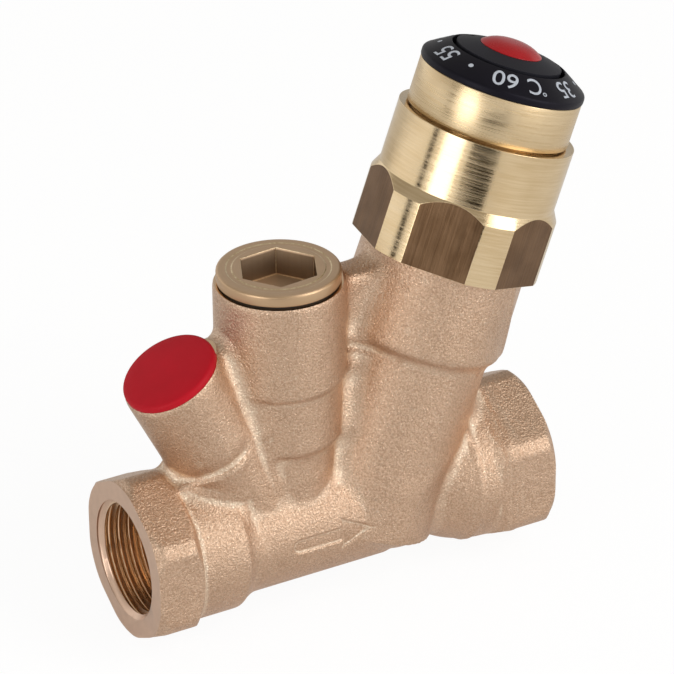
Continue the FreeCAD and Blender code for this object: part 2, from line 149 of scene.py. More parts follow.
def slice_off(point, way):
    """In edit mode, cuts off what lies beyond a plane and closes the cut."""
    bpy.ops.mesh.select_all(action="SELECT")
    bpy.ops.mesh.bisect(plane_co=point, plane_no=way, use_fill=True, clear_outer=True, threshold=HAIR)


def smooth(piece, angle):
    """Shades a piece smooth, except over edges sharper than an angle in degrees."""
    pick_up(piece)
    bpy.ops.object.shade_smooth_by_angle(angle=math.radians(angle))


def facing(spot, way):
    """A place at a spot, with its Z axis along a way."""
    return Matrix.Translation(spot) @ way.to_track_quat("Z", "Y").to_matrix().to_4x4()


def discard(piece):
    """Deletes a tool or cutter that has done its work."""
    pick_up(piece)
    bpy.ops.object.delete()


print("bonnet axis", [round(x, 3) for x in BONNET.col[2][:3]])

# %% [markdown]
# ## Camera
# The camera was fitted to the outlines of the ports, the bonnet and the plug. It is a long lens,
# about 0.6 m from the valve, 29 degrees to the left of the pipe's side and as much above it. Its
# three directions are worked out first, and the valve's place in the picture is set by moving the
# camera sideways, so that the lens needs no shift.

# %% Camera at the photograph's angle
PICTURE = 674
VIEW_TURN, VIEW_RISE, VIEW_ROLL = 0.50236, 0.50190, 0.008139
VIEW_DISTANCE = 611.87
PIXELS_PER_MM = 5.9447
MIDDLE = Vector((LENGTH / 2, 0, 0))
MIDDLE_SEEN_AT = (324.58, 500.87)
SENSOR = 36

back = Vector((-math.sin(VIEW_TURN) * math.cos(VIEW_RISE),
               -math.cos(VIEW_TURN) * math.cos(VIEW_RISE), math.sin(VIEW_RISE)))
level = Vector((math.cos(VIEW_TURN), -math.sin(VIEW_TURN), 0))
right = math.cos(VIEW_ROLL) * level - math.sin(VIEW_ROLL) * back.cross(level)
up = back.cross(right)
across = (PICTURE / 2 - MIDDLE_SEEN_AT[0]) / PIXELS_PER_MM
above = (MIDDLE_SEEN_AT[1] - PICTURE / 2) / PIXELS_PER_MM
stand = MIDDLE + across * right + above * up + VIEW_DISTANCE * back

camera = begin("camera", bpy.ops.object.camera_add)
directions = Matrix((right, up, back)).transposed().to_4x4()
camera.matrix_world = Matrix.Translation(stand * MM) @ directions
camera.data.sensor_width = SENSOR
camera.data.lens = SENSOR * PIXELS_PER_MM * VIEW_DISTANCE / PICTURE
camera.data.clip_start = 0.01
bpy.context.scene.camera = camera
print("camera", [round(x, 3) for x in camera.location], "lens", round(camera.data.lens, 1))

# %% [markdown]
# ## Shader arithmetic
# A finish is a small sum: so much grain, less so much wear. Written with node calls that sum is
# hard to read, so one class wraps the end of a wire and lets Python's own signs add the Math
# nodes. Every other node comes from one method.


# %% A wire that can be added, taken away and multiplied
class Wire:
    """The end of a wire in a material. Sums on wires add the Math nodes that work them out."""

    def __init__(self, tree, socket):
        self.tree = tree
        self.socket = socket

    def node(self, kind, settings=None, sockets=None, out=0):
        """Adds a node: its settings first, then the values or wires of its sockets."""
        made = self.tree.nodes.new(kind)
        for name, value in (settings or {}).items():
            setattr(made, name, value)
        for name, value in (sockets or {}).items():
            if isinstance(value, Wire):
                self.tree.links.new(value.socket, made.inputs[name])
            else:
                made.inputs[name].default_value = value
        return Wire(self.tree, made.outputs[out])

    def sum(self, operation, first, second):
        """One Math node on two wires or numbers."""
        return self.node("ShaderNodeMath", {"operation": operation}, {0: first, 1: second})

    def __add__(self, other):
        return self.sum("ADD", self, other)

    __radd__ = __add__

    def __sub__(self, other):
        return self.sum("SUBTRACT", self, other)

    def __rsub__(self, other):
        return self.sum("SUBTRACT", other, self)

    def __mul__(self, other):
        return self.sum("MULTIPLY", self, other)

    __rmul__ = __mul__

    def steep(self, low, high):
        """0 below low, 1 above high, and a smooth rise between them."""
        sockets = {"Value": self, "From Min": low, "From Max": high}
        return self.node("ShaderNodeMapRange", {"interpolation_type": "SMOOTHSTEP"}, sockets)

    def noise(self, scale, detail=2.0, rough=0.5, stretch=None):
        """Noise with so many grains to the metre, seen along this wire's coordinates."""
        place = self
        if stretch:
            place = self.node("ShaderNodeMapping", {}, {"Vector": self, "Scale": stretch})
        sockets = {"Vector": place, "Scale": scale, "Detail": detail, "Roughness": rough}
        return self.node("ShaderNodeTexNoise", {}, sockets)

    def colours(self, low, high):
        """A colour between two, mixed by this wire."""
        sockets = {0: self, 6: paint(low), 7: paint(high)}
        return self.node("ShaderNodeMix", {"data_type": "RGBA"}, sockets, 2)

    def part(self, name):
        """One of a vector's three numbers."""
        return self.node("ShaderNodeSeparateXYZ", {}, {0: self}, name)

    def off_axis(self):
        """How far a place lies from the Z axis."""
        flat = self.node("ShaderNodeVectorMath", {"operation": "MULTIPLY"}, {0: self, 1: (1, 1, 0)})
        return self.node("ShaderNodeVectorMath", {"operation": "LENGTH"}, {0: flat}, "Value")

    def lines(self, scale, detail=3.0, rough=0.5):
        """Noise along this one number, which a turning tool leaves as rings."""
        sockets = {"W": self, "Scale": scale, "Detail": detail, "Roughness": rough}
        return self.node("ShaderNodeTexNoise", {"noise_dimensions": "1D"}, sockets)


def paint(colour):
    """A colour as a Mix node takes it: a wire as it is, or three numbers and a 1."""
    return colour if isinstance(colour, Wire) else (*colour, 1)


print("a wire has", [name for name in vars(Wire) if not name.startswith("_")])

# %% [markdown]
# ## A finish on its axis
# Every finish here is one Principled shader. Its patterns follow the axis on which the piece was
# turned or drawn, so one Mapping node turns the Object coordinates to that axis, and all the noise
# of the finish starts there. A number that is the same all over is set on the shader's own socket.

# %% One shader, seen on one axis


def socket_name(word):
    """The shader's own name for a socket, such as Base Color for base_color."""
    return word.replace("_", " ").title().replace("Ior", "IOR")


class Finish:
    """A material with one Principled shader, seen in the coordinates of one of the valve's axes."""

    def __init__(self, name, axis=Matrix(), **values):
        self.material = bpy.data.materials.new(name)
        self.material.use_nodes = True
        self.tree = self.material.node_tree
        self.shader = self.tree.nodes["Principled BSDF"]
        here = Wire(self.tree, self.tree.nodes.new("ShaderNodeTexCoord").outputs["Object"])
        back_to_axis = axis.inverted()
        self.place = here.node("ShaderNodeMapping", {}, {
            "Vector": here, "Location": back_to_axis.to_translation(),
            "Rotation": back_to_axis.to_euler()})
        for socket, value in values.items():
            self.shader.inputs[socket_name(socket)].default_value = value

    def feed(self, **wires):
        """Leads wires to the shader's sockets."""
        for socket, wire in wires.items():
            self.tree.links.new(wire.socket, self.shader.inputs[socket_name(socket)])

    def bump(self, height, strength, depth):
        """Feeds a height, in shares of a depth in millimetres, to the shader's normal."""
        sockets = {"Strength": strength, "Distance": depth * MM, "Height": height}
        self.feed(normal=height.node("ShaderNodeBump", {}, sockets))

    def edges(self, low, high):
        """0 where the mesh's pointiness is below low, as in hollows, and 1 above high, as on edges."""
        return self.place.node("ShaderNodeNewGeometry", out="Pointiness").steep(low, high)


print("shader tools ready")

# %% [markdown]
# ## Gunmetal
# The body is cast in sand and then blasted with shot, so its skin is covered with dents about a
# third of a millimetre wide, and each dent throws its own spark of light. A fine noise makes the
# dents, and a coarse one the slow change of tint over a casting. A second fine noise paints pale
# spots into the colour, as painted glints. Hollows are found by the mesh's own pointiness and
# painted paler, as a painted highlight in the fillets.
# Where a cutter has been, the metal is smooth: pinkish on the port faces, with fine rings, and more
# golden in the threads.

# %% Cast gunmetal and machined gunmetal
cast_gunmetal = Finish("cast_gunmetal", metallic=1.0)
skin = cast_gunmetal.place
dents = skin.noise(2900, detail=2.0, rough=0.65)
# Painted glints: pale spots painted into the colour below, where the metal is also a little smoother.
painted_glints = skin.noise(3700, detail=1.0).steep(0.54, 0.68)
cloud = skin.noise(240, detail=3.0, rough=0.55).steep(0.3, 0.7)
rub = cast_gunmetal.edges(0.505, 0.56)
# Hollows, which get a painted highlight below and a little more roughness.
hollow = 1.0 - cast_gunmetal.edges(0.480, 0.4985)
tone = cloud.colours((0.52, 0.335, 0.222), (0.58, 0.380, 0.258))
tone = dents.steep(0.35, 0.65).colours(tone, (0.71, 0.496, 0.350))
# Painted light: the glint spots and the hollows are painted pale, as painted glints and a painted
# highlight in the fillets. The lighter convex edges are rubbed wear.
bright = painted_glints * (0.25 + hollow * 0.5) + rub * 0.15 + hollow * 0.42
tone = bright.colours(tone, (0.98, 0.83, 0.65))
cast_gunmetal.feed(base_color=tone, roughness=0.31 - painted_glints * 0.12 + dents * 0.08 + hollow * 0.08)
cast_gunmetal.bump(dents * 1.3 + skin.noise(1200, detail=1.0) * 0.2, 0.9, 0.18)

machined_gunmetal = Finish("machined_gunmetal", axis=INLET, metallic=1.0)
swarf = machined_gunmetal.place
rings = swarf.off_axis().lines(9000, detail=2)
smear = swarf.noise(600, detail=3)
face_tone = (smear * 0.6 + rings * 0.4).colours((0.60, 0.40, 0.285), (0.86, 0.62, 0.47))
along = swarf.part("Z")
FACE_ENDS, BORE_STARTS = 0.9, 1.2
in_bore = (along.steep(FACE_ENDS * MM, BORE_STARTS * MM)
           * (1.0 - along.steep((LENGTH - BORE_STARTS) * MM, (LENGTH - FACE_ENDS) * MM)))
machined_gunmetal.feed(base_color=in_bore.colours(face_tone, (0.92, 0.67, 0.45)),
                       roughness=0.24 + smear * 0.10 + rings * 0.06 - in_bore * 0.12)
machined_gunmetal.bump(rings * (1.0 - in_bore), 0.25, 0.03)
print("finishes", [m.material.name for m in (cast_gunmetal, machined_gunmetal)])

# %% [markdown]
# ## Brass
# The bonnet and its collar are turned from drawn hexagon bar. A turning tool leaves rings so fine
# that they can't be seen one by one, yet they draw each reflection out along the axis, and that is
# the look of turned brass. The six flats are the bar's own drawn skin: brown, dull and scratched
# lengthwise. The plug is a duller brass, with painted shade that darkens the sides of its socket,
# and bright only where a key has rubbed the edges.

# %% Turned brass, the drawn skin of the bar and the plug's brass


def turned_brass(name, dark, light, rough, ring_depth):
    """Brass from the lathe: fine rings round its axis, streaks of polish and a little tarnish."""
    finish = Finish(name, axis=BONNET, metallic=1.0)
    place = finish.place
    height = place.part("Z")
    streaks = place.noise(1400, detail=3, rough=0.6, stretch=(0.08, 0.08, 2.2)).steep(0.3, 0.7)
    haze = place.noise(130, detail=2).steep(0.25, 0.75)
    tone = (haze * 0.45 + streaks * 0.55).colours(dark, light)
    finish.feed(base_color=tone, roughness=rough + streaks * 0.15 - haze * 0.03)
    finish.bump(height.lines(7000, rough=0.7), 0.35, ring_depth)
    return finish


bonnet_brass = turned_brass("bonnet_brass", (0.68, 0.50, 0.28), (0.84, 0.66, 0.42), 0.10, 0.025)
collar_brass = turned_brass("collar_brass", (0.68, 0.50, 0.28), (0.80, 0.63, 0.40), 0.24, 0.03)
inner_brass = turned_brass("inner_brass", (0.62, 0.44, 0.19), (0.78, 0.60, 0.30), 0.28, 0.03)

bar_skin = Finish("bar_skin", axis=BONNET, metallic=1.0)
drawn = bar_skin.place.noise(2600, detail=3, rough=0.7, stretch=(1, 1, 0.02)).steep(0.25, 0.75)
stain = bar_skin.place.noise(220, detail=3).steep(0.3, 0.7)
brown = (drawn * 0.6 + stain * 0.4).colours((0.135, 0.074, 0.037), (0.255, 0.152, 0.084))
bar_skin.feed(base_color=brown, roughness=0.32 + drawn * 0.16)
bar_skin.bump(drawn, 0.3, 0.05)

plug_brass = Finish("plug_brass", axis=PLUG, metallic=1.0)
spin = plug_brass.place
from_middle = spin.off_axis()
tool_marks = from_middle.lines(6000)
dull = spin.noise(300, detail=4, rough=0.6)
tone = (dull * 0.5 + tool_marks * 0.5).colours((0.62, 0.435, 0.280), (0.82, 0.605, 0.415))
rim = from_middle.steep(9.85 * MM, 10.1 * MM)
height = spin.part("Z")
# Painted shade: the socket's sides, between its floor and the flange's rim, are painted dark brown.
painted_socket_shade = height.steep(41.7 * MM, 41.9 * MM) * (1.0 - height.steep(46.0 * MM, 46.35 * MM))
painted_socket_shade = painted_socket_shade * (1.0 - rim)
# Painted shade: dark brown mixed into the socket's sides.
tone = (painted_socket_shade * 0.75).colours(tone, (0.10, 0.062, 0.034))
tone = (rim * 0.7).colours(tone, (0.56, 0.375, 0.215))
plug_brass.feed(base_color=tone, roughness=0.38 + dull * 0.12 - rim * 0.04)
plug_brass.bump(tool_marks * 0.6 + dull * 0.4, 0.3, 0.05)

worn_brass = Finish("worn_brass", axis=PLUG, metallic=1.0)
rubbed = worn_brass.place.noise(1800, detail=3, rough=0.7)
worn_brass.feed(base_color=rubbed.steep(0.3, 0.7).colours((0.66, 0.48, 0.28), (0.95, 0.80, 0.55)),
                roughness=0.22 + rubbed * 0.2)
print("brass ready")

# %% [markdown]
# ## Plastics, rubber, print and the metals inside
# The scale ring and the pointer disc are black plastic with a fine spark-eroded grain that turns a
# reflection grey. The dome is glossy red, and the pocket's cap is a softer red. The scale is white
# print. Inside are rubber rings, steel springs, a copper cup with its wax, and a white washer, each
# with the small unevenness that keeps it from looking like paint.

# %% Plastics, rubber, print, steel, copper and wax


def plastic(name, dark, light, rough, grain, **values):
    """Moulded plastic: a little cloud in its colour, grain on its skin and faint pale scuffs."""
    finish = Finish(name, **values)
    cloud = finish.place.noise(260, detail=3)
    skin = finish.place.noise(5200, detail=2)
    scuffs = finish.place.noise(1100, detail=4, rough=0.7).steep(0.62, 0.80)
    tone = (scuffs * 0.03).colours(cloud.colours(dark, light), (0.5, 0.5, 0.5))
    finish.feed(base_color=tone, roughness=rough + cloud * 0.10 + skin * 0.06)
    finish.bump(skin, 0.2, grain)
    return finish


black_plastic = plastic("black_plastic", (0.004, 0.004, 0.006), (0.008, 0.007, 0.012), 0.34, 0.02,
                        specular_ior_level=0.16, specular_tint=(0.86, 0.82, 1.0, 1))
disc_plastic = plastic("disc_plastic", (0.006, 0.006, 0.009), (0.013, 0.013, 0.019), 0.44, 0.03,
                       specular_ior_level=0.28, specular_tint=(0.86, 0.84, 1.0, 1))
dome_plastic = plastic("dome_plastic", (0.38, 0.008, 0.012), (0.48, 0.011, 0.016), 0.20, 0.005,
                       specular_ior_level=0.25, coat_weight=0.12)
cap_plastic = plastic("cap_plastic", (0.46, 0.005, 0.014), (0.56, 0.007, 0.020), 0.44, 0.015,
                      specular_ior_level=0.16)
white_print = plastic("white_print", (0.46, 0.50, 0.57), (0.62, 0.66, 0.74), 0.45, 0.01)
black_rubber = plastic("black_rubber", (0.010, 0.010, 0.010), (0.028, 0.027, 0.026), 0.62, 0.04)
washer_white = plastic("washer_white", (0.72, 0.72, 0.69), (0.84, 0.84, 0.82), 0.42, 0.02)
wax = plastic("wax", (0.52, 0.36, 0.20), (0.78, 0.66, 0.44), 0.48, 0.05)


def drawn_metal(name, dark, light, rough):
    """Wire, pin and cup metal, drawn through a die along its length."""
    finish = Finish(name, axis=BONNET, metallic=1.0)
    draw = finish.place.noise(1400, detail=3, rough=0.6, stretch=(1, 1, 0.08))
    finish.feed(base_color=draw.colours(dark, light), roughness=rough + draw * 0.15)
    finish.bump(draw, 0.2, 0.02)
    return finish


spring_steel = drawn_metal("spring_steel", (0.42, 0.42, 0.43), (0.62, 0.62, 0.63), 0.24)
pin_steel = drawn_metal("pin_steel", (0.50, 0.50, 0.51), (0.66, 0.66, 0.67), 0.14)
drawn_copper = drawn_metal("drawn_copper", (0.55, 0.24, 0.13), (0.74, 0.38, 0.24), 0.24)
print("finishes in all", len(bpy.data.materials))

# %% [markdown]
# ## Turning a piece
# Most pieces are round. On the bench each starts as a ring of points, and that ring is extruded
# and scaled from one diameter to the next, as a lathe tool moves along a shaft. A hollow piece has
# its last ring bridged to its first, and a solid piece has both ends filled. A bevel then breaks
# the sharp edges, because every real edge has a small radius that catches the light.

# %% A lathe made of extrude and scale
SMOOTH_UP_TO = 32


def close_ends(bridge=False):
    """In edit mode, fills a piece's open ends or bridges them, and turns its faces outwards."""
    bpy.ops.mesh.select_mode(type="EDGE")
    bpy.ops.mesh.select_all(action="DESELECT")
    bpy.ops.mesh.select_non_manifold()
    if bridge:
        bpy.ops.mesh.bridge_edge_loops()
    else:
        bpy.ops.mesh.fill_holes(sides=0)
    bpy.ops.mesh.select_all(action="SELECT")
    bpy.ops.mesh.normals_make_consistent(inside=False)


def turn(name, outline, hollow=False, steps=128):
    """Turns an outline of (radius, height) points, in millimetres, about Z."""
    radius, height = outline[0]
    piece = begin(name, bpy.ops.mesh.primitive_circle_add, vertices=steps, radius=radius * MM,
                  location=(0, 0, height * MM))
    bpy.ops.object.mode_set(mode="EDIT")
    bpy.ops.mesh.select_mode(type="EDGE")
    bpy.ops.mesh.select_all(action="SELECT")
    for next_radius, next_height in outline[1:]:
        rise = (0, 0, (next_height - height) * MM)
        bpy.ops.mesh.extrude_edges_move(TRANSFORM_OT_translate={"value": rise})
        share = next_radius / radius
        bpy.ops.transform.resize(value=(share, share, 1), center_override=(0, 0, next_height * MM))
        radius, height = next_radius, next_height
    close_ends(bridge=hollow)
    return settle(piece)


def corner(radius_at, height_at, round_by, start, end, steps):
    """Points of a rounded corner, from one angle to another about its centre."""
    angles = [math.radians(start + (end - start) * i / steps) for i in range(steps + 1)]
    return [(radius_at + round_by * math.cos(a), height_at + round_by * math.sin(a)) for a in angles]


def break_edges(piece, width, segments=2, angle=28, finish=-1):
    """Bevels the sharp edges and clears flat slivers. The bevels may have a finish of their own."""
    use_tool(piece, "BEVEL", width=width * MM, segments=segments, limit_method="ANGLE",
             angle_limit=math.radians(angle), use_clamp_overlap=True, material=finish)
    open_piece(piece)
    bpy.ops.mesh.dissolve_degenerate(threshold=SPECK)
    smooth(piece, min(SMOOTH_UP_TO, angle))


def coat(piece, *finishes):
    """Clears a piece's material slots and gives it one slot for each finish."""
    piece.data.materials.clear()
    for finish in finishes:
        piece.data.materials.append(finish.material)


def dress(piece, place, finish, slot, body, *nodes):
    """Sets a piece on its axis with its finish, and lets it ride in place of the nodes. The slot is
    not used.
    """
    settle(piece, place)
    if not piece.data.materials:
        coat(piece, finish)
    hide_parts(*nodes)
    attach(piece, body)
    print(piece.name, "faces", len(piece.data.polygons))


print("lathe ready")

# %% [markdown]
# ## The casting
# A sand casting has no sharp inner corner: wherever two bosses meet, the pattern maker fills the
# corner with a fillet, or the metal would tear there. The packed body has plain joins. Rounding
# them edge by edge is fragile, so the whole skin is rounded at once, in the order of the foundry:
# first a solid casting with stock on its faces, and the machining afterwards. A copy of the body is
# drawn out at its flat ends, and round fillings close its bores.

# %% Close the openings of a copy of the body
STOCK = 1.2
SEAT, POCKET_TOP = 44.1, 36.0
casting = bpy.data.objects.new("cast_body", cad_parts["valve_body"].data.copy())
bpy.context.scene.collection.objects.link(casting)
casting.data.materials.clear()
open_piece(casting)
bpy.ops.mesh.remove_doubles(threshold=SPECK)
put_down()


def stretch_face(piece, place, height):
    """Draws a flat end outwards by the stock that is cut off again later."""
    inward = place.inverted()
    axis = place.col[2].to_3d()

    def is_end(face):
        off = abs((inward @ face.center).z - height * MM)
        return face.normal.dot(axis) > 0.999 and off < 10 * SPECK

    open_piece(piece, is_end)
    bpy.ops.mesh.extrude_region_move(TRANSFORM_OT_translate={"value": axis * STOCK * MM})
    put_down()


ABOUT = Matrix.Rotation(math.pi, 4, "Y")
# Each face has its axis, its height there and the reach of the cutter that faces it later.
FACES = ((INLET @ ABOUT, 0.0, 22), (OUTLET @ ABOUT, 0.0, 22), (PLUG, SEAT, 12),
         (POCKET, POCKET_TOP, 9.4), (BONNET, SEAT, 15.6))
for place, height, reach in FACES:
    stretch_face(casting, place, height)

# Each filling has its axis, its radius and the heights of its two ends.
FILLINGS = ((INLET, 10.2, 0.3 - STOCK, LENGTH - 0.3 + STOCK),
            (BONNET, 12.6, -4.5, SEAT + STOCK - 0.2), (PLUG, 8.7, -1, SEAT + STOCK - 0.2),
            (POCKET, 5.2, 5, POCKET_TOP + STOCK - 0.2))
fillings = [settle(turn("filling", [(radius, low), (radius, high)]), place)
            for place, radius, low, high in FILLINGS]
pick_up(casting, *fillings)
bpy.ops.object.join()
print("casting before the net", len(casting.data.polygons))

# %% [markdown]
# ## Fillets
# The closed casting is turned into a fine net of even faces, swelled until the corners run
# together, and shrunk back by the same amount. The corners stay filled. A share for each place says
# how large the fillet is there. Every renewed net also loses a little of the crisp steps and hexagon
# edges, so the swelled casting is sunk by a hair's breadth and joined with the unchanged pattern:
# the pattern gives the edges, and only the fillets rise above it.

# %% Swell and shrink the casting
NET = 0.44
FILLET = 2.4
FILLET_STEPS = 4
PLAIN_CORNERS = 0.1
SINK = 0.1


def fade(value, full, none):
    """1 up to full, 0 from none on, and a straight fall between them."""
    return max(0.0, min(1.0, (none - value) / (none - full)))


def fillet_share(point):
    """How much of the full fillet a corner gets here: most of it where a boss leaves the pipe."""
    x, y, z = point / MM
    pipe = 0.85 * fade(math.hypot(y, z), 13.6, 16.5) * fade(-x, -22, -20) * fade(x, 58, 61)
    foot = POCKET.inverted() @ point / MM
    pocket = 0.6 * fade(math.hypot(foot.x, foot.y), 12, 14) * fade(foot.z, 19.5, 20.5)
    neck_side = 33.2 + 0.364 * z
    valley = fade(abs(x - 0.5 * (39.8 + neck_side)), 2.5, 5) * fade(z, 41, 44)
    ridge = fade(abs(x - 24 + 0.25 * z), 2.5, 4.5) * fade(z, 34, 37)
    hex_foot = max(0.35 * fade(abs(x - 8.5), 1.2, 2.2), 0.8 * fade(abs(x - 64), 2.4, 3.4))
    return max(PLAIN_CORNERS, pipe, pocket, valley, ridge, hex_foot)


def renew_net(piece):
    """Covers a piece with a new net of even faces."""
    use_tool(piece, "REMESH", mode="VOXEL", voxel_size=NET * MM)


def push_skin(piece, amount, group=""):
    """Moves the skin outwards by millimetres, or inwards if the amount is negative."""
    use_tool(piece, "DISPLACE", direction="NORMAL", mid_level=0.0, strength=amount * MM,
             vertex_group=group)


def swell(piece, amount):
    """Moves the skin outwards, by less where a corner stays plain, and renews the net."""
    piece.vertex_groups.clear()
    share = piece.vertex_groups.new(name="fillet")
    for point in piece.data.vertices:
        share.add([point.index], fillet_share(point.co), "REPLACE")
    push_skin(piece, amount, "fillet")
    renew_net(piece)


pick_up(casting)
bpy.ops.object.duplicate()
pattern = bpy.context.object
renew_net(casting)
for way in (1, -1):
    for step in range(FILLET_STEPS):
        swell(casting, way * FILLET / FILLET_STEPS)
casting.vertex_groups.clear()
push_skin(casting, -SINK)
pick_up(casting, pattern)
bpy.ops.object.join()
renew_net(casting)
use_tool(casting, "SMOOTH", factor=0.5, iterations=2)
print("casting net", len(casting.data.polygons), "faces")

# %% [markdown]
# ## Marks of the pattern
# A pattern is made of several pieces of wood, and their joins stay visible on every casting. The
# inlet's collar stands back a little behind its hexagon, the pocket's boss ends in a crease with a
# swelling under it, and the edge under the neck's thick end runs on across the valley beside it.
# Each mark is a share between 0 and 1 for every point of the skin, kept in a vertex group, and a
# Displace modifier moves the skin by that share. The web's top and the pocket's foot are first
# rubbed round in the same manner, with a Smooth modifier. Swelling leaves the lowest corners of the
# hexagons a tenth of a millimetre too low, so they are cut level with the packed body.

# %% Rub the web and the pocket's foot round, and press the marks


def weigh(piece, name, share):
    """A new vertex group, in which share gives the weight of each point."""
    piece.vertex_groups.clear()
    group = piece.vertex_groups.new(name=name)
    for point in piece.data.vertices:
        weight = share(*(point.co / MM))
        if weight > 0:
            group.add([point.index], weight, "REPLACE")


def on_web_top(x, y, z):
    """1 on the top of the web between the plug's boss and the neck, 0 away from it."""
    return fade(abs(x - 42.5), 3, 5) * fade(abs(y), 8, 10) * fade(abs(z - 40.5), 4, 6)


def on_collar(x, y, z):
    """1 on the round of the pipe behind the inlet's hexagon, 0 away from it."""
    return fade(8.4 - x, 0, 0.4) * fade(x, 17.5, 20) * fade(math.hypot(y, z), 13.3, 13.9)


def round_axis(place, height, over, under, reach, left, right):
    """A share that is full at one height on an axis, and fades over, under and beside it."""
    inward = place.inverted()

    def share(x, y, z):
        spot = inward @ (Vector((x, y, z)) * MM) / MM
        near = fade(spot.z - height, 0, over) * fade(height - spot.z, 0, under)
        between = fade(left - x, 0, 1) * fade(x, right, right + 1.5)
        return near * between * fade(math.hypot(spot.x, spot.y), reach, reach + 1)

    return share


def on_pocket_foot(x, y, z):
    """1 at the foot of the pocket's boss on the inlet's side, 0 away from it."""
    foot = POCKET.inverted() @ (Vector((x, y, z)) * MM) / MM
    return fade(abs(foot.z - 17), 3, 5) * fade(math.hypot(foot.x, foot.y), 11, 13) * fade(x, 17, 19)


FLARE = round_axis(POCKET, height=19.4, over=0.4, under=6.0, reach=10.4, left=5, right=17.5)
CREASE = round_axis(POCKET, height=20.3, over=2.2, under=0.6, reach=9.8, left=5, right=18.4)
NECK_CREASE = round_axis(BONNET, height=27.4, over=1.2, under=0.6, reach=16.0, left=39.5, right=44)
RUBBED = (("web_top", on_web_top, 60), ("pocket_foot", on_pocket_foot, 12))
RELIEF = (("collar", on_collar, -0.35), ("pocket_flare", FLARE, 0.35),
          ("pocket_crease", CREASE, -0.45), ("neck_crease", NECK_CREASE, -0.4))
for name, share, times in RUBBED:
    weigh(casting, name, share)
    use_tool(casting, "SMOOTH", factor=0.5, iterations=times, vertex_group=name)
for name, share, depth in RELIEF:
    weigh(casting, name, share)
    push_skin(casting, depth, name)
open_piece(casting)
lowest = Vector(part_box("valve_body")[0]) + Vector((0, 0, 0.01 * MM))
slice_off(lowest, (0, 0, -1))
put_down()
print("marks", [(name, depth) for name, share, depth in RELIEF])

# %% [markdown]
# ## The flow arrow
# The pattern also carries a flow arrow on the pipe's side, and the sand rounds all its edges. A
# sharp cut would look machined, so the skin is pressed in once more: the net is divided there, and
# each point is weighed by how far inside the arrow's outline it lies.

# %% Press the flow arrow into the skin
ARROW = ((26.7, 1.35), (34.9, 1.35), (34.9, 2.85), (40.6, 0.1), (34.9, -2.65), (34.9, -1.15),
         (26.7, -1.15), (25.9, -0.7), (25.6, 0.1), (25.9, 0.9))
ARROW_DEPTH = 0.32
SOFT_EDGE = 0.3


def inside_arrow(x, z):
    """How far a point lies inside the arrow's outline, in millimetres. Outside, it is negative."""
    nearest = 1e9
    inside = False
    for (x0, z0), (x1, z1) in zip(ARROW, ARROW[1:] + ARROW[:1]):
        dx, dz = x1 - x0, z1 - z0
        t = max(0.0, min(1.0, ((x - x0) * dx + (z - z0) * dz) / (dx * dx + dz * dz)))
        nearest = min(nearest, math.hypot(x - x0 - t * dx, z - z0 - t * dz))
        if (z0 > z) != (z1 > z) and x < x0 + dx * (z - z0) / dz:
            inside = not inside
    return nearest if inside else -nearest


def near_arrow(x, y, z):
    """Whether a place lies in the patch of skin round the arrow."""
    return y < -8 and abs(x - 33) < 8.2 and abs(z) < 3.4


def pressed(x, y, z):
    """What share of its depth the arrow has here, with a soft edge along its outline."""
    if not near_arrow(x, y, z):
        return 0.0
    share = fade(-inside_arrow(x, z), -SOFT_EDGE, SOFT_EDGE)
    return share * share * (3 - 2 * share)


open_piece(casting, lambda face: near_arrow(*(face.center / MM)))
bpy.ops.mesh.subdivide(number_cuts=2)
put_down()
weigh(casting, "arrow", pressed)
use_tool(casting, "DISPLACE", direction="Y", mid_level=0.0, strength=ARROW_DEPTH * MM,
         vertex_group="arrow")
casting.vertex_groups.clear()
print("arrow pressed in")

# %% [markdown]
# ## Taps
# The ports have half-inch pipe threads. A bump in the material would look flat at the rim, where
# the thread is seen edge-on, so a tap with a real helix is made: the outline of one groove is swept
# by a Screw modifier and cut off square. The tap is shifted along its axis, so that the first groove
# runs out on the rim where the photograph shows it.

# %% The taps for the pipe threads
PITCH = 1.814
THREAD = ((0.00, 9.36), (0.17, 9.42), (0.60, 10.24), (0.77, 10.38), (1.04, 10.38), (1.21, 10.24),
          (1.64, 9.42), (1.814, 9.36))
TAP_LENGTH = 13.4
TAP_SHIFT = 0.65


def tap(name, place):
    """A threaded rod that cuts a pipe thread, starting outside the port."""
    rod = begin(name, bpy.ops.mesh.primitive_plane_add, size=MM)
    bpy.ops.object.mode_set(mode="EDIT")
    bpy.ops.mesh.select_mode(type="VERT")
    bpy.ops.mesh.select_all(action="SELECT")
    bpy.ops.mesh.merge(type="CENTER")
    along, radius = THREAD[0]
    bpy.ops.transform.translate(value=(radius * MM, 0, (along + TAP_SHIFT - 3 * PITCH) * MM))
    for next_along, next_radius in THREAD[1:]:
        step = ((next_radius - radius) * MM, 0, (next_along - along) * MM)
        bpy.ops.mesh.extrude_vertices_move(TRANSFORM_OT_translate={"value": step})
        along, radius = next_along, next_radius
    put_down()
    turns = math.ceil(TAP_LENGTH / PITCH) + 5
    use_tool(rod, "SCREW", axis="Z", angle=2 * math.pi, screw_offset=PITCH * MM, iterations=turns,
             steps=72, render_steps=72, use_smooth_shade=False)
    open_piece(rod)
    bpy.ops.mesh.remove_doubles(threshold=2 * SPECK)
    for height, way in ((-1.0, -1), (TAP_LENGTH, 1)):
        slice_off((0, 0, height * MM), (0, 0, way))
    bpy.ops.mesh.select_all(action="SELECT")
    bpy.ops.mesh.normals_make_consistent(inside=False)
    return settle(rod, place)


taps = [tap("inlet_tap", INLET), tap("outlet_tap", OUTLET)]
print("taps", [len(t.data.polygons) for t in taps])

